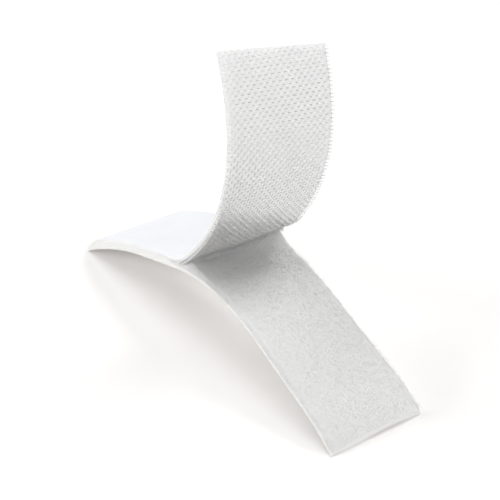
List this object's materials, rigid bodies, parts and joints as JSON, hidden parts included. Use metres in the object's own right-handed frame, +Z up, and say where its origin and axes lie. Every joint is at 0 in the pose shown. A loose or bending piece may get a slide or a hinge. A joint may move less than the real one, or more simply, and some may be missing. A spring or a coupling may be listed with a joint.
{
  "type": "hook and loop tape pair",
  "caption": "Pair of self-adhesive hook and loop tapes, mated at one end and peeled apart at the other, with a bending hook flap over an arched loop tape.",
  "frame": {"origin": "middle of the outline's box in plan, on the surface that the two cut ends of the loop tape stand on", "axes": "+X from the mated end to the foot of the loop tape, +Y across the tape towards the less peeled edge, +Z up"},
  "size_m": [0.1034, 0.0306, 0.0726],
  "materials": {
    "liner": "satin release film",
    "adhesive": "clear tacky rubber adhesive",
    "backing": "white woven nylon",
    "hooks": "white nylon monofilament",
    "pile": "napped nylon loop pile"
  },
  "bodies": {
    "mated_pair": {"loop_liner": "liner", "loop_adhesive": "adhesive", "loop_backing": "backing", "loop_pile": "pile", "hook_liner_mated": "liner", "hook_adhesive_mated": "adhesive", "hook_backing_mated": "backing", "hook_field_mated": "hooks"},
    "flap_lower": {"hook_liner_lower": "liner", "hook_adhesive_lower": "adhesive", "hook_backing_lower": "backing", "hook_field_lower": "hooks"},
    "flap_middle": {"hook_liner_middle": "liner", "hook_adhesive_middle": "adhesive", "hook_backing_middle": "backing", "hook_field_middle": "hooks"},
    "flap_tip": {"hook_liner_tip": "liner", "hook_adhesive_tip": "adhesive", "hook_backing_tip": "backing", "hook_field_tip": "hooks"}
  },
  "joints": [
    {"name": "peel_lift", "type": "hinge", "parent": "mated_pair", "child": "flap_lower", "pos_m": [-0.00458, -0.00318, 0.0196], "axis": [-0.1455, -0.9888, -0.0345], "range_deg": [-18, 12], "stiffness_Nm_per_rad": 0.0065},
    {"name": "flap_bend", "type": "hinge", "parent": "flap_lower", "child": "flap_middle", "pos_m": [0.00787, -0.00554, 0.03474], "axis": [-0.1455, -0.9888, -0.0345], "range_deg": [-45, 30], "stiffness_Nm_per_rad": 0.0065},
    {"name": "tip_curl", "type": "hinge", "parent": "flap_middle", "child": "flap_tip", "pos_m": [0.01101, -0.00669, 0.05457], "axis": [-0.1455, -0.9888, -0.0345], "range_deg": [-45, 30], "stiffness_Nm_per_rad": 0.0065}
  ],
  "couplings": [
    {"joint": "flap_bend", "follows": "peel_lift", "ratio": 2.5},
    {"joint": "tip_curl", "follows": "peel_lift", "ratio": 2.5}
  ]
}
